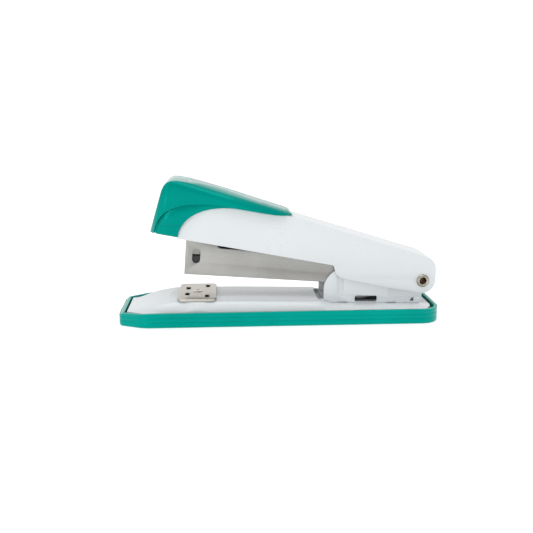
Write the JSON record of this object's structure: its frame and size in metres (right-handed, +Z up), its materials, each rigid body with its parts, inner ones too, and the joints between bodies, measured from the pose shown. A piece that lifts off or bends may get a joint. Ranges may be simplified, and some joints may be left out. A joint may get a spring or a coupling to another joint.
{
  "type": "stapler",
  "caption": "Desk stapler: long low base with a turning anvil, tilting staple magazine and hinged cover with a moulded cap.",
  "frame": {"origin": "centre of the base's underside", "axes": "+X along the base from the mouth to the hinge, +Y across the base, +Z up"},
  "size_m": [0.128, 0.0344, 0.0568],
  "materials": {
    "teal_plastic": "glossy",
    "white_paint": "satin",
    "plated_steel": "satin",
    "bare_steel": "satin",
    "nickel": "polished",
    "spring_steel": "satin",
    "black_plastic": "matte"
  },
  "bodies": {
    "base": {"base_tray": "teal_plastic", "base_plate": "white_paint", "hinge_bracket": "white_paint", "bracket_rivets": "plated_steel", "lift_spring": "spring_steel", "hinge_eyelet": "nickel", "anvil_spring": "spring_steel"},
    "anvil_button": {"anvil_button": "plated_steel"},
    "anvil": {"anvil_plate": "nickel", "anvil_stud": "nickel"},
    "magazine": {"magazine_channel": "bare_steel", "magazine_front": "bare_steel", "staple_rail": "bare_steel", "guide_rod": "bare_steel", "rod_retainer": "bare_steel", "retainer_rivets": "nickel", "hinge_bush": "nickel", "pusher_spring": "spring_steel"},
    "pusher": {"staple_pusher": "black_plastic"},
    "spring_arm": {"return_spring": "spring_steel"},
    "cover": {"top_cover": "white_paint", "cap_shell": "teal_plastic", "cap_skirt": "teal_plastic", "driver_blade": "bare_steel", "driver_rivets": "nickel"}
  },
  "joints": [
    {"name": "magazine_tilt", "type": "hinge", "parent": "base", "child": "magazine", "pos_m": [0.0579, 0, 0.0157], "axis": [0, 1, 0], "range_deg": [-5, 0], "stiffness_Nm_per_rad": 1.5, "springref_deg": 14.32, "deforming": ["lift_spring"]},
    {"name": "cover_press", "type": "hinge", "parent": "magazine", "child": "spring_arm", "pos_m": [0.0579, 0, 0.0157], "axis": [0, 1, 0], "range_deg": [-6.2, 0], "stiffness_Nm_per_rad": 0.8, "springref_deg": 8.59},
    {"name": "cover_open", "type": "hinge", "parent": "spring_arm", "child": "cover", "pos_m": [0.0579, 0, 0.0157], "axis": [0, 1, 0], "range_deg": [0, 95]},
    {"name": "pusher_slide", "type": "slide", "parent": "magazine", "child": "pusher", "axis": [0.9973, 0, -0.0732], "range_m": [0, 0.048], "stiffness_N_per_m": 20, "springref_m": -0.02, "deforming": ["pusher_spring"]},
    {"name": "anvil_lift", "type": "slide", "parent": "base", "child": "anvil_button", "axis": [0, 0, 1], "range_m": [0, 0.0016], "stiffness_N_per_m": 400, "springref_m": -0.002, "deforming": ["anvil_spring"]},
    {"name": "anvil_turn", "type": "hinge", "parent": "anvil_button", "child": "anvil", "pos_m": [-0.0332, 0, 0.0112], "axis": [0, 0, 1], "continuous": true}
  ]
}
